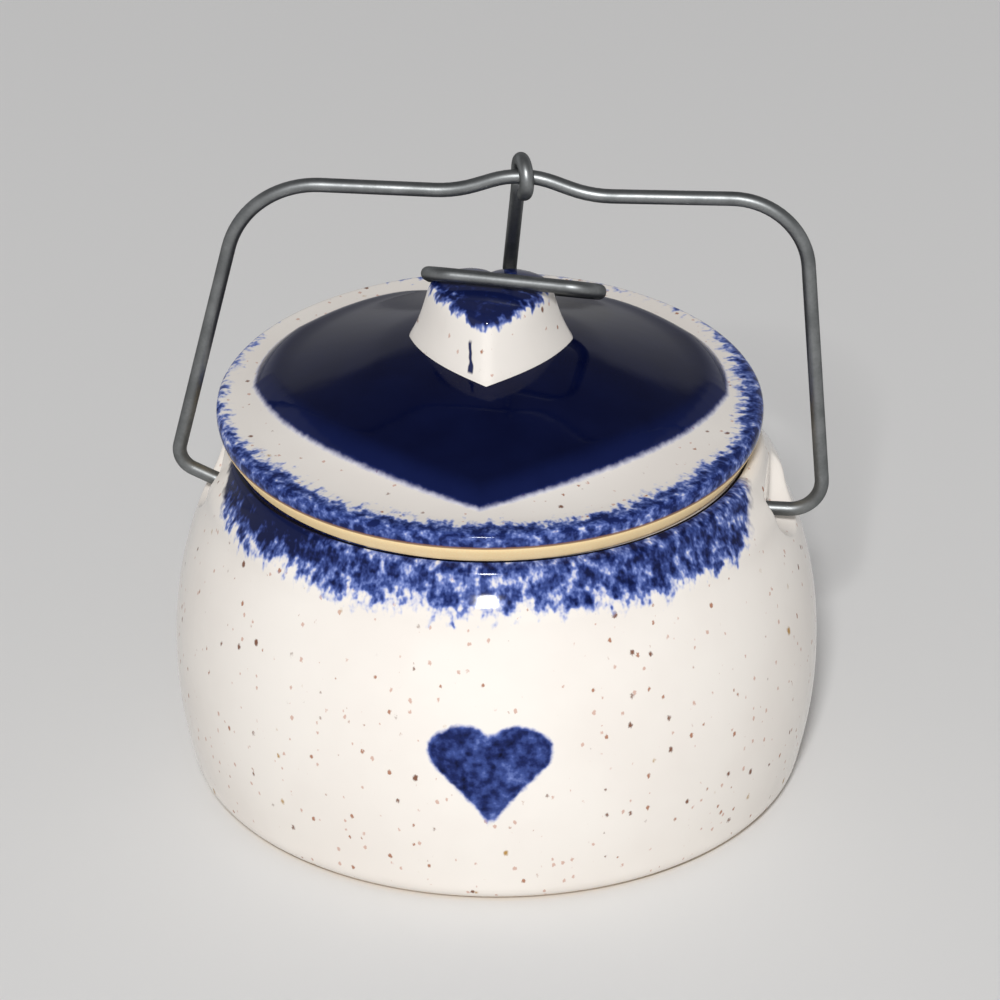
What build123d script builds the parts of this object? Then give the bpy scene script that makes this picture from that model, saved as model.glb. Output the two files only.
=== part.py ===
from build123d import *
import math
import os

# A squat stoneware crock with a domed lid, a wire bail and a wire lid clasp.
# Millimetres. The origin is the centre of the base, +Z is up, the bail pins lie along X
# and the front, where the hearts point, is -Y.

# Crock: outside
body_radius = 59.3
foot_radius = 55.8
rim_radius = 48.4
rim_height = 65.0
shoulder_rise = 25.6
belly_rise = 15.4

# Crock: inside
rim_thick = 6.4
wall = 7.6
floor_thick = 8.0
throat_depth = 16.0
throat_flare = 12.0
crock_round_shares = (0.22, 0.45, 0.49, 0.25, 0.25, 0.40, 0.45, 0.30)

# Crock: the two pockets that take the ends of the bail
ear_drop = 11.5
ear_setback = 1.1
ear_half_width = 9.0
ear_floor_drop = 3.5
pin_depth = 4.0
pin_end_gap = 0.3
pin_gap = 0.15

# Lid
lid_overhang = 1.4
lid_seat_inset = 1.0
lid_skirt_height = 3.8
lid_edge_height = 6.8
lid_edge_inset = 9.4
lid_crown_height = 15.1
lid_crown_radius = 15.0
lid_wall = 5.6
ring_gap = 2.4
ring_thick = 3.6
ring_depth = 5.0
hollow_edge_rise = 1.5
lid_offset = -1.25
lid_set_back = 0.7
lid_turn = 3.5
lid_tilt = 1.6
lid_round_shares = (0.49, 0.40, 0.20, 0.20, 0.10, 0.10, 0.30, 0.30, 0.49, 0.49)

# Lid: raised heart
relief_height = 2.4
relief_side_margin = 6.9
relief_tip_margin = 8.4
relief_rear_margin = 11.0

# Lid: heart knob
knob_rise = 14.43
knob_crown_radius = 38.0
knob_half_width = 15.2
knob_tip_reach = 18.9
knob_rear_reach = 8.8
knob_set_back = 4.2
knob_waist_share = 0.34
knob_waist_scale_share = 0.83
knob_top_scale_share = 0.60

# A half heart from its tip to its cleft: across as a share of the half width, along as a
# share of the reach to the tip (below zero) or to the rear (above zero)
heart_shares = (
    (0.0, -1.0),
    (0.657, -0.548),
    (1.0, 0.054),
    (0.876, 0.595),
    (0.46, 1.0),
    (0.19, 0.93),
    (0.0, 0.72),
)

# Bail
wire_radius = 1.3
bail_rise = 65.7
bail_stand_off = 10.5
bail_elbow_gap = 1.5
bail_left_shares = ((-0.986, 0.058), (-0.757, 0.930), (-0.123, 0.9315))
bail_apex_share = 0.0783
bail_right_shares = ((0.282, 0.9346), (0.919, 0.951), (1.0, 0.0))
bail_round_shares = (0.30, 0.38, 0.36, 0.30, 0.46, 0.30, 0.34, 0.45)

# Lid clasp
eye_gap = 0.5
eye_turn = 250.0
eye_yaw = 20.0
bar_gap = 0.65
bar_left_reach = 12.7
bar_right_reach = 18.9
bar_left_set = 0.6
bar_right_set = -3.3
loop_left_reach = 13.6
loop_right_reach = 17.2
loop_rear_reach = 15.2
loop_left_drop = 7.8
loop_right_drop = 9.8
stem_straight = 3.0
stem_foot_place = 0.5
loop_end_gap = 0.7
clasp_round_shares = (0.45, 0.30, 0.28, 0.28, 0.28, 0.28)

# Shared allowance for cuts that run out of the solid
overrun = 5.0

# Places that several pieces share
mouth_radius = rim_radius - rim_thick
lid_radius = rim_radius + lid_overhang
ear_height = rim_height - ear_drop
ear_face = rim_radius + ear_setback
bail_half_span = ear_face + bail_stand_off
seat_radius = rim_radius - lid_seat_inset
lid_seat = rim_height + seat_radius * math.sin(math.radians(lid_tilt))
knob_top = lid_seat + lid_crown_height + knob_rise
eye_radius = 2 * wire_radius + eye_gap


def rounded_path(points, shares):
    """Lines through the points, each corner rounded by a share of its shorter run."""
    radii = []
    for before, corner, after, share in zip(points, points[1:], points[2:], shares):
        run_in = Vector(*corner) - Vector(*before)
        run_out = Vector(*after) - Vector(*corner)
        half_turn = math.radians(run_in.get_angle(run_out)) / 2
        radii.append(share * min(run_in.length, run_out.length) / math.tan(half_turn))
    return FilletPolyline(*points, radius=radii)


def turned(outline, shares):
    """A solid turned about Z from an outline of (radius, height) that starts and ends on the axis."""
    path = rounded_path([(radius, 0, height) for radius, height in outline], shares)
    axis_line = Line(path @ 1, path @ 0)
    return revolve(make_face(path.edges() + axis_line.edges()), Axis.Z)


def heart(half_width, tip_reach, rear_reach, set_back, height):
    """A flat heart with its tip to the front."""
    half = []
    for across, along in heart_shares:
        reach = tip_reach if along < 0 else rear_reach
        half.append((across * half_width, set_back + along * reach, height))
    arcs = []
    for side in (1, -1):
        places = [(side * x, y, z) for x, y, z in half]
        arcs += [ThreePointArc(*places[i : i + 3]) for i in (0, 2, 4)]
    return make_face([arc.edge() for arc in arcs])


def wire(path):
    """Round wire swept along a path."""
    return sweep(Plane(path @ 0, z_dir=path % 0) * Circle(wire_radius), path=path)


def make_crock():
    cavity_radius = body_radius - wall
    throat_height = rim_height - throat_depth
    outline = [
        (0, 0),
        (foot_radius, 0),
        (body_radius, belly_rise),
        (body_radius, rim_height - shoulder_rise),
        (rim_radius, rim_height),
        (mouth_radius, rim_height),
        (mouth_radius, throat_height),
        (cavity_radius, throat_height - throat_flare),
        (cavity_radius, floor_thick),
        (0, floor_thick),
    ]
    crock = turned(outline, crock_round_shares)
    reach = body_radius - ear_face + overrun
    round_height = ear_height - ear_floor_drop + ear_half_width
    open_height = rim_height - round_height + overrun
    for side in (1, -1):
        middle = side * (ear_face + reach / 2)
        crock -= Pos(middle, 0, round_height) * Rot(0, 90, 0) * Cylinder(ear_half_width, reach)
        open_centre = (middle, 0, round_height + open_height / 2)
        crock -= Pos(open_centre) * Box(reach, 2 * ear_half_width, open_height)
        bore_depth = pin_depth + pin_end_gap
        bore_length = bore_depth + overrun
        bore_centre = (side * (ear_face - bore_depth + bore_length / 2), 0, ear_height)
        crock -= Pos(bore_centre) * Rot(0, 90, 0) * Cylinder(wire_radius + pin_gap, bore_length)
    return crock


def make_lid():
    # Heights count from the face that sits on the rim
    ring_radius = mouth_radius - ring_gap
    hollow_radius = ring_radius - ring_thick
    outline = [
        (0, lid_crown_height - lid_wall),
        (lid_crown_radius, lid_crown_height - lid_wall),
        (hollow_radius, hollow_edge_rise),
        (hollow_radius, -ring_depth),
        (ring_radius, -ring_depth),
        (ring_radius, 0),
        (seat_radius, 0),
        (lid_radius, lid_skirt_height),
        (lid_radius, lid_edge_height),
        (lid_radius - lid_edge_inset, lid_edge_height),
        (lid_crown_radius, lid_crown_height),
        (0, lid_crown_height),
    ]
    blank = turned(outline, lid_round_shares)

    # The raised heart follows the dome
    margins = (relief_side_margin, relief_tip_margin, relief_rear_margin)
    heart_face = heart(*[lid_radius - margin for margin in margins], 0, lid_skirt_height)
    prism = extrude(heart_face, amount=lid_crown_height + relief_height, dir=(0, 0, 1))
    relief = Pos(0, 0, relief_height) * blank & prism

    # The knob narrows from a wide foot to a slightly domed top
    top = lid_crown_height + knob_rise
    knob_sizes = (knob_half_width, knob_tip_reach, knob_rear_reach, knob_set_back)
    height_shares = (0, knob_waist_share, 1)
    scale_shares = (1, knob_waist_scale_share, knob_top_scale_share)
    sections = []
    for height_share, scale_share in zip(height_shares, scale_shares):
        sizes = [scale_share * size for size in knob_sizes]
        sections.append(heart(*sizes, lid_crown_height + height_share * (knob_rise + overrun)))
    knob = loft(sections) & Pos(0, 0, top - knob_crown_radius) * Sphere(knob_crown_radius)

    # The lid sits askew, with its rear edge up
    return Pos(lid_offset, lid_set_back, lid_seat) * Rot(lid_tilt, 0, lid_turn) * (blank + relief + knob)


def bail_path():
    """The bail's centre line from the left pin over the lid to the right pin."""
    pin_end = ear_face - pin_depth
    points = [(-pin_end, 0, ear_height), (-(ear_face + bail_elbow_gap), 0, ear_height)]
    for across, up in bail_left_shares + ((bail_apex_share, 1.0),) + bail_right_shares:
        points.append((across * bail_half_span, 0, ear_height + up * bail_rise))
    points.append((pin_end, 0, ear_height))
    return rounded_path(points, bail_round_shares)


def make_bail():
    return wire(bail_path())


def make_lid_clasp():
    # The eye wraps the top of the bail, in a plane turned a little about Z
    eye_plane = Plane(
        (bail_apex_share * bail_half_span, 0, bail_path().bounding_box().max.Z),
        x_dir=Vector(0, 1, 0).rotate(Axis.Z, eye_yaw),
        z_dir=Vector(1, 0, 0).rotate(Axis.Z, eye_yaw),
    )
    eye = eye_plane * CenterArc((0, 0), eye_radius, eye_turn, -eye_turn)
    eye_rear = eye @ 1

    bar_height = knob_top + bar_gap + wire_radius
    loop_end = stem_foot_place - 2 * wire_radius - loop_end_gap

    def loop_rear(across):
        """A place on the rear of the loop, which slopes down to the right."""
        share = (across + loop_left_reach) / (loop_left_reach + loop_right_reach)
        drop = loop_left_drop + share * (loop_right_drop - loop_left_drop)
        return (across, loop_rear_reach, bar_height - drop)

    points = [
        (eye_rear.X, eye_rear.Y, eye_rear.Z),
        (eye_rear.X, eye_rear.Y, eye_rear.Z - stem_straight),
        loop_rear(stem_foot_place),
        loop_rear(loop_right_reach),
        (bar_right_reach, bar_right_set, bar_height),
        (-bar_left_reach, bar_left_set, bar_height),
        loop_rear(-loop_left_reach),
        loop_rear(loop_end),
    ]
    run = rounded_path(points, clasp_round_shares)
    return wire(Wire(eye.edges() + run.edges()))


pieces = {
    "crock": make_crock(),
    "lid": make_lid(),
    "bail": make_bail(),
    "lid_clasp": make_lid_clasp(),
}

os.makedirs("parts", exist_ok=True)
for name, piece in pieces.items():
    piece.label = name
    export_step(piece, f"parts/{name}.step")
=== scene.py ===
import math

import bmesh
import bpy
import numpy as np
from mathutils import Matrix, Vector


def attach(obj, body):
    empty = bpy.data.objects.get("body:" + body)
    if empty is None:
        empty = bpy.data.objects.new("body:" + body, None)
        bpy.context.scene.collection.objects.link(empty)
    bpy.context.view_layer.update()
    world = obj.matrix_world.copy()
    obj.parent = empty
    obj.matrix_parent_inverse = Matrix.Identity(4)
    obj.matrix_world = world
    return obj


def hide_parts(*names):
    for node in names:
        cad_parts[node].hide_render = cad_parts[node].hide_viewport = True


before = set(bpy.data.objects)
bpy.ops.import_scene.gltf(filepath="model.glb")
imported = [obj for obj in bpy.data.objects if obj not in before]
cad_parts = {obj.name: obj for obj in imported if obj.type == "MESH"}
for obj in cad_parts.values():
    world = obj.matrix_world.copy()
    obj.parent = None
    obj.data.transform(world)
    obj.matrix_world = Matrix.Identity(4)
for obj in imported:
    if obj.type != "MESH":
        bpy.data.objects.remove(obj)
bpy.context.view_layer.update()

# The crock is a squat stoneware pot, cast in one piece, with a pocket pressed into each side of its
# shoulder for the wire. Its glaze is cream over iron-flecked clay, with cobalt sponged round the neck
# and one heart stamped on the front; the foot and the rim that the lid sits on are wiped bare.
mm = 0.001


def off_run(place, start, end):
    """How far a place in the XZ plane lies from the run between two corners, in mm."""
    first = Vector((start[0], start[1]))
    run = Vector((end[0], end[1])) - first
    offset = Vector((place.x, place.z)) - first
    share = min(max(offset.dot(run) / run.length_squared, 0), 1)
    return (offset - share * run).length


def template(corners):
    """A turner's template: a line through corners of radius, height, rounding and row spacing, in mm."""
    arc_share, fewest_rows = 1.6, 4
    line = bmesh.new()
    points = [line.verts.new((radius * mm, 0, height * mm)) for radius, height, _, _ in corners]
    for start, end in zip(points, points[1:]):
        line.edges.new((start, end))
    for point, (_, _, rounding, spacing) in zip(points, corners):
        if rounding:
            bmesh.ops.bevel(
                line,
                geom=[point],
                offset=rounding * mm,
                affect="VERTICES",
                segments=max(fewest_rows, round(arc_share * rounding / spacing)),
                profile=0.5,
                material=-1,
            )
    runs = list(zip(corners, corners[1:]))
    for edge in list(line.edges):
        middle = (edge.verts[0].co + edge.verts[1].co) / (2 * mm)
        (_, _, _, spacing), _ = min(runs, key=lambda run: off_run(middle, *run))
        cuts = int(edge.calc_length() / (spacing * mm))
        if cuts:
            bmesh.ops.subdivide_edges(line, edges=[edge], cuts=cuts)
    return line


def turned(line, steps):
    """Turns a template about Z into a closed skin that faces outwards."""
    seam_gap = 0.001
    bmesh.ops.spin(
        line,
        geom=line.verts[:] + line.edges[:],
        cent=(0, 0, 0),
        axis=(0, 0, 1),
        dvec=(0, 0, 0),
        angle=math.tau,
        steps=steps,
        use_merge=True,
    )
    bmesh.ops.remove_doubles(line, verts=line.verts, dist=seam_gap * mm)
    bmesh.ops.recalc_face_normals(line, faces=line.faces)
    return line


def eased(skin, verts, passes, axes="xyz", factor=0.5):
    """Smooths some vertices of a skin or a template along the axes given, in a few passes."""
    moves = {"use_axis_" + axis: True for axis in axes}
    for _ in range(passes):
        bmesh.ops.smooth_vert(skin, verts=verts, factor=factor, **moves)


def rise(value, low, high):
    """A smooth step from 0 at low to 1 at high."""
    share = min(max((value - low) / (high - low), 0), 1)
    return share * share * (3 - 2 * share)


def finished(name, skin):
    """A piece from its skin, shaded smooth."""
    for face in skin.faces:
        face.smooth = True
    mesh = bpy.data.meshes.new(name)
    skin.to_mesh(mesh)
    skin.free()
    made = bpy.data.objects.new(name, mesh)
    bpy.context.scene.collection.objects.link(made)
    return made


def places_of(made):
    """Each vertex of a piece, in mm."""
    places = np.empty(3 * len(made.data.vertices))
    made.data.vertices.foreach_get("co", places)
    return places.reshape(-1, 3) / mm


def heart_line(half_shares, half_width, tip_reach, rear_reach):
    """Points round a heart from its tip. Each half is three bows, a bow passes through three of its
    points, and the place on the lobe where the last two bows meet is eased."""
    bow_steps, ease_reach, ease_passes = 16, 7, 12
    half = []
    for across, along in half_shares:
        reach = tip_reach if along < 0 else rear_reach
        half.append(np.array((across * half_width, along * reach)))
    share = np.linspace(0, 1, bow_steps + 1)[:-1, None]
    bows = []
    for first in (0, 2, 4):
        start, middle, end = half[first : first + 3]
        pull = 2 * middle - (start + end) / 2
        bows.append((1 - share) ** 2 * start + 2 * share * (1 - share) * pull + share**2 * end)
    right = np.concatenate(bows + [half[-1][None]])
    lobe = 2 * bow_steps
    low, high = lobe - ease_reach, lobe + ease_reach + 1
    for _ in range(ease_passes):
        before, after = right[low - 1 : high - 1], right[low + 1 : high + 1]
        right[low:high] = (before + 2 * right[low:high] + after) / 4
    left = right[-2:0:-1] * (-1, 1)
    return np.concatenate([right, left])


def depth_inside(line, places):
    """How far each place lies inside a closed line, and below zero how far outside."""
    depth = np.full(len(places), np.inf)
    inside = np.zeros(len(places), bool)
    for start, end in zip(line, np.roll(line, -1, axis=0)):
        run = end - start
        share = np.clip((places - start) @ run / (run @ run), 0, 1)
        depth = np.minimum(depth, np.linalg.norm(places - start - share[:, None] * run, axis=1))
        between = (start[1] > places[:, 1]) != (end[1] > places[:, 1])
        crossing = start[0] + (places[:, 1] - start[1]) * run[0] / (run[1] or 1)
        inside ^= between & (places[:, 0] < crossing)
    return np.where(inside, depth, -depth)


def keep(made, name, values):
    """Stores one value for each vertex of a piece, for its glaze to read."""
    made.data.attributes.new(name, "FLOAT", "POINT").data.foreach_set("value", values)


crock_corners = (
    (0.0, 0.0, 0.0, 4.0),
    (55.8, 0.0, 3.5, 1.2),
    (59.3, 15.4, 7.1, 1.2),
    (59.3, 39.4, 11.8, 0.9),
    (48.4, 65.0, 1.6, 1.0),
    (42.0, 65.0, 1.6, 1.6),
    (42.0, 49.0, 6.2, 1.6),
    (51.7, 37.0, 6.9, 1.6),
    (51.7, 8.0, 8.7, 3.0),
    (0.0, 8.0, 0.0, 1.0),
)
crock_steps, wall_passes = 320, 30
foot_edge, rim_edge, cavity_top = 4, 63, 50
cavity_reach, neck_reach = 52.5, 49.5


def on_outer_wall(vert):
    """Whether a point of the template is on the outside of the wall, between the foot and the rim."""
    least_reach = neck_reach if vert.co.z > cavity_top * mm else cavity_reach
    return foot_edge * mm < vert.co.z < rim_edge * mm and vert.co.x > least_reach * mm


crock_line = template(crock_corners)
outer_wall = [vert for vert in crock_line.verts if on_outer_wall(vert)]
eased(crock_line, outer_wall, wall_passes, axes="xz")

# The wall swells softly round the neck, where it catches the light
swell_height, swell_reach, swell_out = 57.4, 2.7, 0.82
for vert in outer_wall:
    vert.co.x += swell_out * mm * math.exp(-(((vert.co.z / mm - swell_height) / swell_reach) ** 2))
crock_skin = turned(crock_line, crock_steps)

# Each pocket is a round-bottomed notch with a flat back, softened by the glaze, and a bore for the pin
pocket_back, pocket_half_width, pocket_round_height, pocket_lip = 49.5, 9.0, 59.0, 0.9
pocket_margin, shoulder_reach, side_reach = 3, 47.5, 40
pocket_cuts, pocket_passes = 3, 3
pin_height, bore_radius, bore_depth, bore_lip = 53.5, 1.45, 4.3, 0.35


def in_pocket(place):
    """How far a place on the shoulder lies inside the outline of a pocket, in mm."""
    drop = min(place.z / mm - pocket_round_height, 0)
    return pocket_half_width - math.hypot(place.y / mm, drop)


def by_pocket(vert):
    """Whether a vertex on the outside of the shoulder is in a pocket or close to one."""
    reach = math.hypot(vert.co.x, vert.co.y)
    at_side = reach > shoulder_reach * mm and abs(vert.co.x) > side_reach * mm
    return at_side and in_pocket(vert.co) > -pocket_margin


pocket_edges = [edge for edge in crock_skin.edges if any(by_pocket(vert) for vert in edge.verts)]
bmesh.ops.subdivide_edges(crock_skin, edges=pocket_edges, cuts=pocket_cuts, use_grid_fill=True)
pocket_wall = [vert for vert in crock_skin.verts if by_pocket(vert)]
for vert in pocket_wall:
    past = abs(vert.co.x) / mm - pocket_back
    if past > 0:
        sunk = past * rise(in_pocket(vert.co), -pocket_lip, pocket_lip)
        vert.co.x -= math.copysign(sunk * mm, vert.co.x)
eased(crock_skin, pocket_wall, pocket_passes)
for vert in pocket_wall:
    off_pin = math.hypot(vert.co.y / mm, vert.co.z / mm - pin_height)
    sunk = bore_depth * (1 - rise(off_pin, bore_radius, bore_radius + bore_lip))
    vert.co.x -= math.copysign(sunk * mm, vert.co.x)
crock = finished("crock_body", crock_skin)

# The stamped heart lies on the front of the belly, a little to the right
stamp_shares = (
    (0.0, -1.0),
    (0.42, -0.60),
    (0.94, -0.20),
    (1.0, 0.42),
    (0.54, 1.0),
    (0.24, 0.90),
    (0.0, 0.57),
)
stamp_line = heart_line(stamp_shares, half_width=10.8, tip_reach=14.4, rear_reach=5.4)
stamp_turn, stamp_height, belly_radius = math.radians(4.9), 32.9, 59.0
outside_reach, off_stamp = 53, -5
spots = places_of(crock)
spot_reach = np.hypot(spots[:, 0], spots[:, 1])
spot_turn = np.arctan2(spots[:, 0], -spots[:, 1]) - stamp_turn
on_belly = np.stack([spot_turn * belly_radius, spots[:, 2] - stamp_height], axis=1)
in_stamp = np.maximum(depth_inside(stamp_line, on_belly), off_stamp)
keep(crock, "stamp", np.where(spot_reach > outside_reach, in_stamp, off_stamp))


class Wash:
    """One value in a node tree. Sums, differences and products of it add Math nodes."""

    def __init__(self, tree, socket):
        self.tree = tree
        self.socket = socket

    def node(self, kind, settings, values, output=0):
        """Any other node: its settings first, then the values or links of its sockets."""
        made = self.tree.nodes.new(kind)
        for name, setting in settings.items():
            if name == "stops":
                stops = made.color_ramp.elements
                for place, _ in setting[1:-1]:
                    stops.new(place)
                for stop, (place, colour) in zip(stops, setting):
                    stop.position = place
                    stop.color = (*colour, 1)
            else:
                setattr(made, name, setting)
        for name, value in values.items():
            if isinstance(value, Wash):
                self.tree.links.new(value.socket, made.inputs[name])
            else:
                made.inputs[name].default_value = value
        return Wash(self.tree, made.outputs[output])

    def out(self, name):
        """Another output of the node that gives this value."""
        return Wash(self.tree, self.socket.node.outputs[name])

    def math(self, operation, *values):
        return self.node("ShaderNodeMath", {"operation": operation}, dict(enumerate(values)))

    def __add__(self, other):
        return self.math("ADD", self, other)

    def __sub__(self, other):
        return self.math("SUBTRACT", self, other)

    def __rsub__(self, other):
        return self.math("SUBTRACT", other, self)

    def __mul__(self, other):
        return self.math("MULTIPLY", self, other)

    __radd__ = __add__
    __rmul__ = __mul__

    def capped(self, most):
        """This value, but no more than another."""
        return self.math("MINIMUM", self, most)

    def magnitude(self):
        return self.math("ABSOLUTE", self)

    def rise(self, low, high):
        """A smooth step from 0 at low to 1 at high."""
        ends = {"Value": self, "From Min": low, "From Max": high}
        return self.node("ShaderNodeMapRange", {"interpolation_type": "SMOOTHSTEP"}, ends)

    def grain(self, size, detail=2.0):
        """Noise at this place, about 0.5, with features of a size in mm."""
        values = {"Vector": self, "Scale": 1 / size, "Detail": detail}
        return self.node("ShaderNodeTexNoise", {}, values, "Fac")

    def sway(self, swing):
        """Grain moved to lie about zero, and spread over a swing."""
        return (self - 0.5) * swing

    def over(self, base, colour):
        """A colour laid over a base, as thick as this value. A Mix node's colours are inputs 6 and 7."""
        return self.node("ShaderNodeMix", {"data_type": "RGBA"}, {0: self, 6: base, 7: colour}, 2)

    def vector(self, operation, other=(0, 0, 0), output="Vector"):
        return self.node("ShaderNodeVectorMath", {"operation": operation}, {0: self, 1: other}, output)

    def level_length(self):
        """How long this vector is, seen from above."""
        return self.vector("MULTIPLY", (1, 1, 0)).vector("LENGTH", output="Value")

    def part(self, axis):
        return self.node("ShaderNodeSeparateXYZ", {}, {"Vector": self}, axis)

    def kept(self, name):
        """A value stored on the vertices of the piece."""
        return self.node("ShaderNodeAttribute", {"attribute_name": name}, {}, "Fac")

    def bumps(self, depth, strength):
        """A surface normal from this height, for bumps of a depth in mm."""
        values = {"Strength": strength, "Distance": depth * mm, "Height": self}
        return self.node("ShaderNodeBump", {}, values)


def coated(made, name):
    """A new material on a piece: its shader, and the place on the piece in mm."""
    material = bpy.data.materials.new(name)
    material.use_nodes = True
    made.data.materials.clear()
    made.data.materials.append(material)
    tree = material.node_tree
    place = Wash(tree, tree.nodes.new("ShaderNodeTexCoord").outputs["Object"])
    return tree.nodes["Principled BSDF"], place.vector("DIVIDE", (mm, mm, mm))


def painted(shader, **values):
    """Links or sets the sockets of a shader, named with _ for a space."""
    for name, value in values.items():
        socket = shader.inputs[name.replace("_", " ")]
        if isinstance(value, Wash):
            value.tree.links.new(value.socket, socket)
        else:
            socket.default_value = value


# Each kind of speck: how far apart its cells are in mm, its widest share of a cell, the share of the
# cells that hold one, and its colour
specks = (
    (1.7, 0.25, 0.55, (0.62, 0.43, 0.36, 1)),
    (2.4, 0.20, 0.55, (0.40, 0.20, 0.13, 1)),
    (3.4, 0.18, 0.50, (0.20, 0.095, 0.062, 1)),
    (5.2, 0.15, 0.55, (0.42, 0.24, 0.065, 1)),
)


def cream_glaze(at):
    """Cream glaze, clouded, with iron that has bled through it in rust, brown and faint pink specks."""
    cloud_size, cloud_dark, cloud_light = 26, (0.795, 0.745, 0.69, 1), (0.825, 0.78, 0.725, 1)
    cloud_span, speck_edge = (0.35, 0.65), (-0.01, 0.09)
    speck_tallness, speck_shift = 4 / 3, (3.3, 1.7, 5.1)
    wander_scale, wander_reach = 2.6, (0.6, 0.6, 0.6)
    colour = at.grain(cloud_size, detail=3).rise(*cloud_span).over(cloud_dark, cloud_light)
    upright = at.vector("MULTIPLY", (1, 1, 1 / speck_tallness))
    for size, widest, chance, speck in specks:
        drop = upright.vector("ADD", [size * shift for shift in speck_shift])
        wander = drop.node("ShaderNodeTexNoise", {}, {"Vector": drop, "Scale": wander_scale}, "Color")
        drop = drop.vector("ADD", wander.vector("MULTIPLY", wander_reach))
        cell = drop.node("ShaderNodeTexVoronoi", {}, {"Vector": drop, "Scale": 1 / size}, "Distance")
        luck = cell.node("ShaderNodeSeparateColor", {}, {"Color": cell.out("Color")})
        width = luck.rise(1 - chance, 1) * widest
        colour = (width - cell).rise(*speck_edge).over(colour, speck)
    return colour


cobalt_stops = (
    (0.0, (0.42, 0.47, 0.70)),
    (0.25, (0.17, 0.23, 0.53)),
    (0.50, (0.043, 0.072, 0.255)),
    (0.75, (0.011, 0.020, 0.103)),
    (1.0, (0.0012, 0.0024, 0.019)),
)


def cobalt(thickness):
    """Cobalt wash, pale blue where it is thin and nearly black where it lies thick."""
    return thickness.node("ShaderNodeValToRGB", {"stops": cobalt_stops}, {"Fac": thickness}, "Color")


def round_wall(at, radius):
    """The place on a wall of one radius that each place faces, so that grain runs straight up the wall."""
    flat = at.vector("MULTIPLY", (1, 1, 0)).vector("NORMALIZE")
    return flat.vector("MULTIPLY", (radius, radius, 0))


def sponge_marks(facing, up_wall, up_share, blot_size, drift_size):
    """The marks of a sponge on a round wall: its feathered edge, its blots, its pores and its drift. The
    smaller the share of the way up the wall that counts, the longer they are drawn out along it."""
    feather_size, feather_share, pore_size = 1.2, 0.5, 0.8
    feathered = facing.vector("ADD", up_wall.vector("MULTIPLY", (0, 0, feather_share)))
    dabbed = facing.vector("ADD", up_wall.vector("MULTIPLY", (0, 0, up_share)))
    feather, drift = feathered.grain(feather_size, detail=1), facing.grain(drift_size, detail=1)
    return feather, dabbed.grain(blot_size), dabbed.grain(pore_size, detail=1), drift


def bare_clay(at, dark, light):
    """Unglazed clay: fine grit between two colours."""
    grit_size, grit_span = 0.35, (0.3, 0.7)
    return at.grain(grit_size).rise(*grit_span).over(dark, light)


def glaze_roughness(at, bare):
    """Glaze is nearly as smooth as glass, and what is wiped bare is dull."""
    smooth, dull, ripple_size, ripple = 0.09, 0.62, 9, 0.04
    return bare * dull + at.grain(ripple_size).sway(ripple) + smooth


crock_shader, at = coated(crock, "glaze_cream_speckled")
height = at.part("Z")
around = at.level_length()
neck_radius, shoulder_share = 51, 0.6
facing = round_wall(at, neck_radius)
upward = at.node("ShaderNodeCombineXYZ", {}, {"Z": (height - around) * shoulder_share})
feather, blot, pore, drift = sponge_marks(facing, upward, up_share=1, blot_size=2.2, drift_size=16)

# The sponge band: thin and feathered at its lower edge, flecked with bare glaze, and darker towards the
# left and a little towards the right, which is partly thicker sponging and partly painted shade on the
# sides of the neck. It stops short of the pockets, and goes nearer to them just under the rim.
band_foot, band_floor, rim_inside = 57.4, 53, 45.5
band_gain, band_thick, band_thickest, band_edge = 0.25, 0.44, 0.92, (-0.26, 0.32)
left_side, right_side, right_share, side_thick_and_shade = (18, 38), (10, 34), 0.22, 0.61
pocket_clear, pocket_lean, lean_height, pocket_ragged = (17.5, 20.5), 1.2, 59, 6
drift_swing, feather_swing, blot_swing, pore_swing = 5, 4, 2.1, 0.8
# Partly painted shade: the band is drawn thicker and darker towards the left and the right of the neck
side_blue_and_shade = (facing.part("X") * -1).rise(*left_side) + facing.part("X").rise(*right_side) * right_share
climb = (height - band_foot + drift.sway(drift_swing) + feather.sway(feather_swing)) * band_gain
band = climb.capped(band_thick + side_blue_and_shade * side_thick_and_shade) + blot.sway(blot_swing) + pore.sway(pore_swing)
to_pocket = facing.part("Y").magnitude() + (height - lean_height) * pocket_lean
off_pocket = (to_pocket + blot.sway(pocket_ragged)).rise(*pocket_clear)
neck = (around - rim_inside).rise(0, 1) * (height - band_floor).rise(0, 2) * off_pocket
colour = (band.rise(*band_edge) * neck).over(cream_glaze(at), cobalt(band.capped(band_thickest)))

# The stamp's blue is mottled, and thin and ragged along its edge
stamp_thick, stamp_edge, stamp_fade = 0.71, (-0.5, 0.35), (-0.7, 0.8)
ragged_size, ragged_swing = 1.8, 1.2
mottle_size, mottle_swing, patch_size, patch_swing = 1.6, 1.1, 7, 0.6
stamp = at.kept("stamp") + at.grain(ragged_size).sway(ragged_swing)
mottle, patch = at.grain(mottle_size), at.grain(patch_size, detail=1)
stamp_blue = stamp_thick + mottle.sway(mottle_swing) + patch.sway(patch_swing)
colour = stamp.rise(*stamp_edge).over(colour, cobalt(stamp_blue * stamp.rise(*stamp_fade)))
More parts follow.
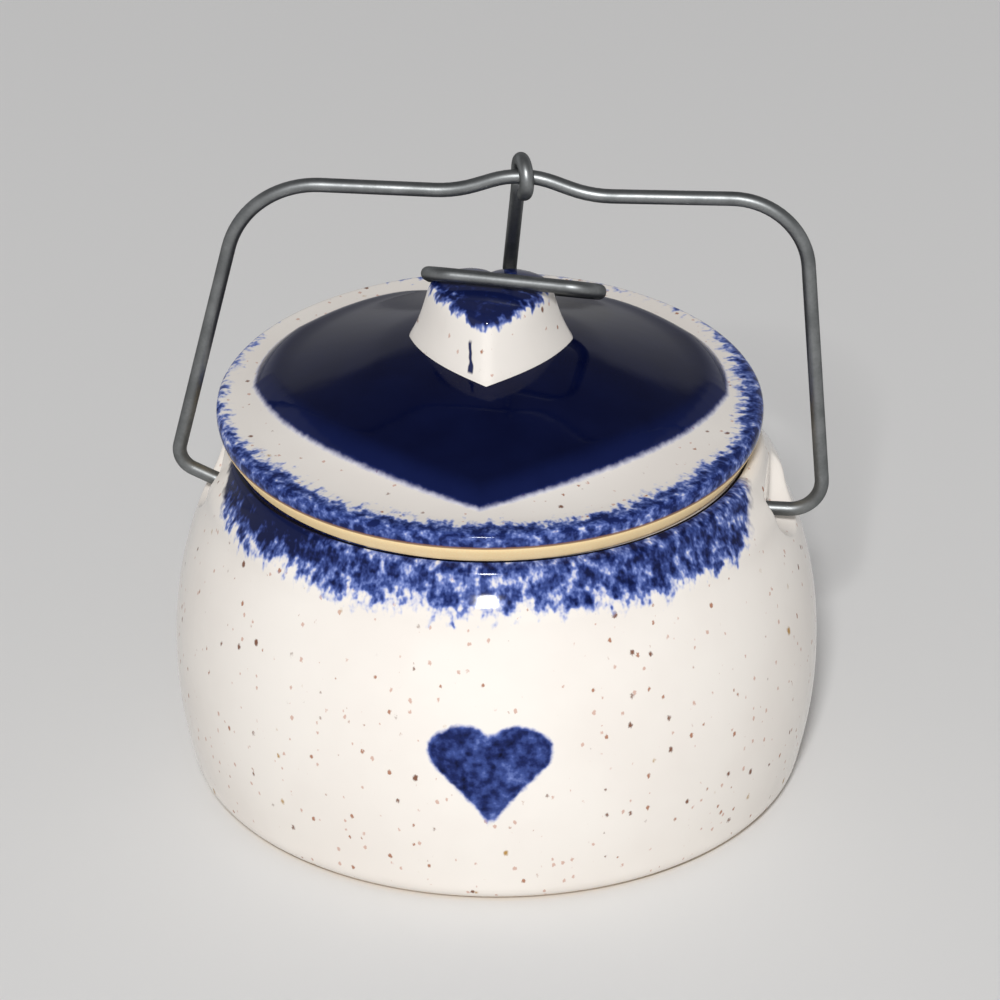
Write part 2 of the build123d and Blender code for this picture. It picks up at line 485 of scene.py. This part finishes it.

# A dark ring of painted shade lies on the rim under the edge of the lid, for the shadow in the gap below
# the lid, and the rim inside it is wiped bare
lid_offset, lid_set_back = -1.25, 0.7
gap_shade_inside, gap_shade_outside, gap_shade_height, painted_gap_shade_colour = 47.0, 47.6, 64.2, (0.0012, 0.0016, 0.008, 1)
clay_dark, clay_light = (0.66, 0.46, 0.26, 1), (0.80, 0.61, 0.38, 1)
wiped_height, wiped_reach = 64.8, 44.4
foot_line, foot_wave_size, foot_wave = (0.55, 0.95), 4, 0.8
# Painted shade: a dark ring that follows the edge of the lid where it rests
rest_reach = at.vector("SUBTRACT", (lid_offset, lid_set_back, 0)).level_length()
painted_gap_shade = (rest_reach - gap_shade_inside).rise(0, 0.3) * (1 - (rest_reach - gap_shade_outside).rise(0, 0.2))
colour = (painted_gap_shade * (height - gap_shade_height).rise(0, 0.3)).over(colour, painted_gap_shade_colour)
wiped = (height - wiped_height).rise(0, 0.15) * (1 - (around - wiped_reach).rise(0, 0.4))
bare_foot = 1 - (height + at.grain(foot_wave_size).sway(foot_wave)).rise(*foot_line)
bare = wiped.math("MAXIMUM", wiped, bare_foot)
painted(
    crock_shader,
    Base_Color=bare.over(colour, bare_clay(at, clay_dark, clay_light)),
    Roughness=glaze_roughness(at, bare),
    Specular_IOR_Level=0.12,
    Normal=at.grain(size=6.5).bumps(depth=0.2, strength=0.25),
)
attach(crock, "crock")
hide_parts("crock")

# The lid is one piece of stoneware: a low dome with a raised heart, and a ring below that drops into
# the mouth. The heart is flooded with cobalt, the edge is sponged, and the skirt under it is bare clay.
# It sits askew, up at the rear; its own heights count from the face that rests on the rim.
lid_tilt, lid_turn, rim_height, seat_radius = math.radians(1.6), math.radians(3.5), 65.0, 47.4
lid_seat = Vector((lid_offset, lid_set_back, rim_height + seat_radius * math.sin(lid_tilt)))
lid_lean = Matrix.Rotation(lid_tilt, 4, "X") @ Matrix.Rotation(lid_turn, 4, "Z")
lid_set = Matrix.Translation(lid_seat * mm) @ lid_lean
lid_corners = (
    (0.0, 9.5, 0.0, 3.0),
    (15.0, 9.5, 7.3, 2.0),
    (36.0, 1.5, 2.6, 1.5),
    (36.0, -5.0, 0.7, 1.5),
    (39.6, -5.0, 0.7, 1.5),
    (39.6, 0.0, 0.5, 1.5),
    (seat_radius, 0.0, 0.45, 0.8),
    (49.8, 3.8, 1.1, 0.5),
    (49.8, 6.8, 1.4, 0.5),
    (40.4, 6.8, 4.6, 0.5),
    (15.0, 15.1, 7.3, 0.6),
    (0.0, 15.1, 0.0, 1.0),
)
lid_steps, dome_passes = 420, 12
dome_middle, dome_edge, crown_reach = 1, 47, 16
dome_low, crown_low = 6.85, 10.6


def on_dome(vert):
    """Whether a point of the template is on the upper side of the lid, clear of its edge and its middle."""
    least_height = dome_low if vert.co.x > crown_reach * mm else crown_low
    return dome_middle * mm < vert.co.x < dome_edge * mm and vert.co.z > least_height * mm


lid_line = template(lid_corners)
dome = [vert for vert in lid_line.verts if on_dome(vert)]
eased(lid_line, dome, dome_passes, axes="xz")
lid_skin = turned(lid_line, lid_steps)

# The heart stands up from the dome like a cushion, steep at its edge
heart_shares = (
    (0.0, -1.0),
    (0.657, -0.548),
    (1.0, 0.054),
    (0.876, 0.595),
    (0.46, 1.0),
    (0.19, 0.93),
    (0.0, 0.72),
)
relief_line = heart_line(heart_shares, half_width=42.9, tip_reach=41.4, rear_reach=38.8)
relief_height, relief_edge, relief_foot, relief_passes = 2.4, 4.2, 0.4, 3
finer_outside, finer_inside = 1, 3
least_facing_up, edge_level, under_level, off_relief = 0.1, 6, 5, -9


def on_top(vert):
    """Whether a vertex is on the upper side of the lid."""
    return vert.normal.z > least_facing_up and vert.co.z > edge_level * mm


def relief_depths(skin):
    """How far each vertex lies inside the outline of the raised heart, in mm."""
    return depth_inside(relief_line, np.array([vert.co[:2] for vert in skin.verts]) / mm)


lid_skin.normal_update()
near_edge = set()
for vert, inside in zip(lid_skin.verts, relief_depths(lid_skin)):
    if on_top(vert) and -finer_outside < inside < finer_inside:
        near_edge.add(vert)
edge_runs = [edge for edge in lid_skin.edges if near_edge.issuperset(edge.verts)]
bmesh.ops.subdivide_edges(lid_skin, edges=edge_runs, cuts=1, use_grid_fill=True)
lid_skin.normal_update()
relief_depth = relief_depths(lid_skin)
swelling = []
for vert, inside in zip(lid_skin.verts, relief_depth):
    if on_top(vert) and inside > -relief_foot:
        share = min((inside + relief_foot) / relief_edge, 1)
        vert.co.z += relief_height * share * (2 - share) * mm
        swelling.append(vert)
eased(lid_skin, swelling, relief_passes, axes="z")
lid_places = np.array([vert.co for vert in lid_skin.verts]) / mm
lid = finished("lid_dome", lid_skin)
keep(lid, "relief", np.where(lid_places[:, 2] > under_level, relief_depth, off_relief))
keep(lid, "reach", np.hypot(lid_places[:, 0], lid_places[:, 1]))
keep(lid, "level", lid_places[:, 2])
lid.data.transform(lid_set)

lid_shader, at = coated(lid, "glaze_blue_and_cream")
level = at.kept("level")
reach = at.kept("reach")
edge_radius = 48
facing = round_wall(at.vector("SUBTRACT", lid_seat), edge_radius)
inward = at.node("ShaderNodeCombineXYZ", {}, {"Z": level - reach})
feather, blot, pore, drift = sponge_marks(facing, inward, up_share=0.9, blot_size=2.0, drift_size=13)

# The sponge went round the edge, heavily at the front and right, and only touched the left and the rear
thin_left, thin_left_along, thin_rear = (16, 40), (-30, -10), (14, 34)
thin_reach, thin_loss, skirt_top = 2.4, 0.14, 3.9
edge_reach, edge_gain, edge_thick, edge_thickest, edge_fade = 45.5, 0.26, 0.56, 0.8, (-0.22, 0.34)
drift_swing, feather_swing, blot_swing, pore_swing = 3.5, 4, 1.8, 0.7
across, along = facing.part("X"), facing.part("Y")
thin = (across * -1).rise(*thin_left) * along.rise(*thin_left_along) + along.rise(*thin_rear)
inset = reach - edge_reach - thin * thin_reach
climb = (inset + drift.sway(drift_swing) + feather.sway(feather_swing)) * edge_gain
band = climb.capped(edge_thick) + blot.sway(blot_swing) + pore.sway(pore_swing) - thin * thin_loss
above_skirt = (level - skirt_top).rise(0, 0.3)
colour = (band.rise(*edge_fade) * above_skirt).over(cream_glaze(at), cobalt(band.capped(edge_thickest)))

# The cobalt has pooled on the heart, and only its rim is thin
rim_blue, pool_blue, pool_edge, pool_fade = 0.2, 0.70, (-0.8, 0.25), (-0.7, 0.45)
middle_blue, middle_fade = 0.08, (0.3, 5.0)
ragged_size, ragged_swing, patch_size, patch_swing = 1.3, 0.5, 8, 0.05
pool = at.kept("relief") + at.grain(ragged_size).sway(ragged_swing)
deep = rim_blue + pool.rise(*pool_fade) * pool_blue + pool.rise(*middle_fade) * middle_blue
colour = pool.rise(*pool_edge).over(colour, cobalt(deep + at.grain(patch_size).sway(patch_swing)))

# The skirt is bare, with a scorched line along its top. Its clay is the clay's own tan with painted light
# on it:
# brighter than the bare clay of the crock, to stand in for the light that falls on the skirt.
skirt_inside, skirt_line, skirt_wave_size, skirt_wave = 40.0, (3.75, 3.95), 3, 0.35
# Painted light: these clay colours are brighter than the clay of the crock's foot and rim
skirt_clay_lit_dark, skirt_clay_lit_light = (1.0, 0.74, 0.40, 1), (1.0, 0.79, 0.45, 1)
scorch_low, scorch_high, scorch_share, scorch_colour = 3.6, 4.05, 0.85, (0.20, 0.085, 0.03, 1)
outside = (reach - skirt_inside).rise(0, 0.3)
bare = (1 - (level + at.grain(skirt_wave_size).sway(skirt_wave)).rise(*skirt_line)) * outside
scorch = (level - scorch_low).rise(0, 0.25) * (1 - (level - scorch_high).rise(0, 0.35)) * outside
colour = bare.over(colour, bare_clay(at, skirt_clay_lit_dark, skirt_clay_lit_light))
painted(
    lid_shader,
    Base_Color=(scorch * scorch_share).over(colour, scorch_colour),
    Roughness=glaze_roughness(at, bare),
    Specular_IOR_Level=0.09,
    Normal=at.grain(size=7).bumps(depth=0.2, strength=0.15),
)
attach(lid, "lid")
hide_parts("lid")

# The knob is cast with the lid: a small heart that narrows upwards from a flared foot to a slightly
# domed top. Its sides are cream, and its top was dabbed with the sponge so that the blue runs over.
knob_line = heart_line(heart_shares, half_width=15.2, tip_reach=18.9, rear_reach=8.8)
knob_set_back, knob_top = 4.2, 29.53
flare_top, knob_passes, knob_ease = 18, 2, 0.35
knob_rings = (
    (15.0, 1.0),
    (16.2, 0.99),
    (17.0, 0.97),
    (18.0, 0.937),
    (19.4, 0.896),
    (21.2, 0.850),
    (23.2, 0.810),
    (25.2, 0.775),
    (26.6, 0.752),
    (27.5, 0.733),
    (28.0, 0.708),
    (28.4, 0.668),
    (28.68, 0.608),
    (28.95, 0.518),
    (29.2, 0.400),
    (29.38, 0.270),
    (29.5, 0.140),
)
knob_skin = bmesh.new()
foot_height, foot_scale = knob_rings[0]
foot = [
    knob_skin.verts.new((x * foot_scale * mm, (y + knob_set_back) * foot_scale * mm, foot_height * mm))
    for x, y in knob_line
]
ring = [knob_skin.edges.new((start, end)) for start, end in zip(foot, foot[1:] + foot[:1])]
for (below, wider), (above, narrower) in zip(knob_rings, knob_rings[1:]):
    grown = bmesh.ops.extrude_edge_only(knob_skin, edges=ring)["geom"]
    ring = [item for item in grown if isinstance(item, bmesh.types.BMEdge)]
    raised = [item for item in grown if isinstance(item, bmesh.types.BMVert)]
    share = narrower / wider
    bmesh.ops.scale(knob_skin, verts=raised, vec=(share, share, 1))
    bmesh.ops.translate(knob_skin, verts=raised, vec=(0, 0, (above - below) * mm))
tip = bmesh.ops.extrude_edge_only(knob_skin, edges=ring)["geom"]
tip = [item for item in tip if isinstance(item, bmesh.types.BMVert)]
bmesh.ops.pointmerge(knob_skin, verts=tip, merge_co=(0, 0, knob_top * mm))
bmesh.ops.contextual_create(knob_skin, geom=foot)
bmesh.ops.recalc_face_normals(knob_skin, faces=knob_skin.faces)
above_flare = [vert for vert in knob_skin.verts if vert.co.z > flare_top * mm]
eased(knob_skin, above_flare, knob_passes, factor=knob_ease)

# The top is a little higher behind the bar of the clasp
crest_rise, crest_along, crest_up = 0.55, (0.5, 6.0), (27.4, 28.5)
for vert in knob_skin.verts:
    share = rise(vert.co.y / mm, *crest_along) * rise(vert.co.z / mm, *crest_up)
    vert.co.z += crest_rise * mm * share
knob_skin.transform(lid_set)
knob = finished("lid_knob", knob_skin)

knob_shader, at = coated(knob, "glaze_knob")
wash_foot, wash_gain, wash_thick, wash_thickest, wash_edge = 93.5, 0.55, 0.95, 0.88, (-0.12, 0.36)
ridge_place, ridge_width, ridge_drop = -1.2, (0.5, 6.5), 1.4
feather_size, feather_share, feather_swing = 1.3, 0.45, 4.5
blot_size, blot_shift, blot_swing = 1.8, (3, 1, 7), 1.3
height = at.part("Z")
feather = at.vector("MULTIPLY", (1, 1, feather_share)).grain(feather_size, detail=1)
blot = at.vector("ADD", blot_shift).grain(blot_size)
ridge = 1 - (at.part("X") - ridge_place).magnitude().rise(*ridge_width)
climb = (height - wash_foot + ridge * ridge_drop + feather.sway(feather_swing)) * wash_gain
wash = climb.capped(wash_thick) + blot.sway(blot_swing)
colour = wash.rise(*wash_edge).over(cream_glaze(at), cobalt(wash.capped(wash_thickest)))

# One run of blue has trickled down the left of the front and stopped in a bead
run_place, run_half_width, run_low, run_high = -3.6, (0.16, 0.42), 83.9, 89.2
bead_height, bead_length, bead_swell, front_side = 84.6, (0.5, 1.8), 0.22, (-4, -3)
waver_size, waver_share, waver_swing, run_colour = 1.5, 0.5, 1.2, (0.012, 0.018, 0.075, 1)
waver = at.vector("MULTIPLY", (0, 0, waver_share)).grain(waver_size, detail=1)
run_across = at.part("X") - run_place + waver.sway(waver_swing)
bead = 1 - (height - bead_height).magnitude().rise(*bead_length)
run = 1 - (run_across.magnitude() - bead * bead_swell).rise(*run_half_width)
run = run * (height - run_low).rise(0, 0.6) * (1 - at.part("Y").rise(*front_side))
run = run * (1 - (height - run_high).rise(0, 1.0))
knob_smooth, knob_ripple_size, knob_ripple = 0.11, 5, 0.05
painted(
    knob_shader,
    Base_Color=run.over(colour, run_colour),
    Roughness=knob_smooth + at.grain(knob_ripple_size).sway(knob_ripple),
    Specular_IOR_Level=0.28,
    Normal=at.grain(size=4).bumps(depth=0.15, strength=0.2),
)
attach(knob, "lid")

# The bail and the clasp are bent from one gauge of galvanised steel wire, gone dull grey, with faint
# bloom along it. The bail's ends spring into the pockets, and the clasp's eye is bent round the bail.
bloom_size, bloom_span, fleck_size, fleck_swing = 5.0, (0.30, 0.70), 0.5, 0.25
wire_dark, wire_light, wire_dull, wire_polish = (0.18, 0.188, 0.19, 1), (0.26, 0.27, 0.272, 1), 0.47, 0.06
for name in ("bail", "lid_clasp"):
    wire_shader, at = coated(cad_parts[name], "galvanised_" + name)
    fleck = at.grain(fleck_size)
    tarnish = (at.grain(bloom_size, detail=3) + fleck.sway(fleck_swing)).rise(*bloom_span)
    painted(
        wire_shader,
        Base_Color=tarnish.over(wire_dark, wire_light),
        Metallic=1.0,
        Roughness=wire_dull - tarnish * wire_polish,
        Specular_Tint=(0.35, 0.35, 0.35, 1),
        Normal=fleck.bumps(depth=0.03, strength=0.2),
    )

# The floor is a plain pale sheet, far wider than the view.
floor_radius, floor_sides = 8, 96
floor_skin = bmesh.new()
bmesh.ops.create_circle(floor_skin, cap_ends=True, segments=floor_sides, radius=floor_radius)
floor = finished("floor", floor_skin)
floor_shader, _ = coated(floor, "pale_floor")
painted(floor_shader, Base_Color=(0.77, 0.765, 0.755, 1), Roughness=0.8)

# The studio: one round lamp a little above the camera, in a room that is pale all round and dim overhead.
lamp_turn, lamp_tilt, lamp_distance = math.radians(2.0), math.radians(38.0), 3.0
lamp_side = Vector((math.sin(lamp_turn), -math.cos(lamp_turn), math.tan(lamp_tilt))).normalized()
lamp = bpy.data.lights.new("lamp", "AREA")
lamp.shape = "DISK"
lamp.energy = 69
lamp.size = 0.38
holder = bpy.data.objects.new("lamp", lamp)
holder.location = lamp_side * lamp_distance
holder.rotation_euler = (-lamp_side).to_track_quat("-Z", "Y").to_euler()
bpy.context.scene.collection.objects.link(holder)

walls_light, ceiling_light, ceiling_line = (0.62, 0.62, 0.63, 1), (0.20, 0.20, 0.205, 1), (0.43, 0.51)
room = bpy.data.worlds.new("room")
room.use_nodes = True
bpy.context.scene.world = room
sky = Wash(room.node_tree, room.node_tree.nodes.new("ShaderNodeTexCoord").outputs["Generated"])
light = sky.part("Z").rise(*ceiling_line).over(walls_light, ceiling_light)
room.node_tree.links.new(light.socket, room.node_tree.nodes["Background"].inputs["Color"])

# The camera looks down a little from the front and slightly from the right, through a long lens.
turn, tilt, distance = math.radians(6.0), math.radians(28.3), 1.2
frame_right, frame_up = 0.00064, 0.00643
back = Vector((math.sin(turn) * math.cos(tilt), -math.cos(turn) * math.cos(tilt), math.sin(tilt)))
aim = Vector((0.0, 0.0, 0.045))
lens = bpy.data.cameras.new("camera")
lens.sensor_width = 36
lens.lens = 235
eye = bpy.data.objects.new("camera", lens)
eye.rotation_euler = (-back).to_track_quat("-Z", "Y").to_euler()
eye_right = eye.rotation_euler.to_matrix() @ Vector((1, 0, 0))
eye_up = eye.rotation_euler.to_matrix() @ Vector((0, 1, 0))
eye.location = aim + distance * back + eye_right * frame_right + eye_up * frame_up
bpy.context.scene.collection.objects.link(eye)
bpy.context.scene.camera = eye
bpy.context.scene.view_settings.view_transform = "Standard"
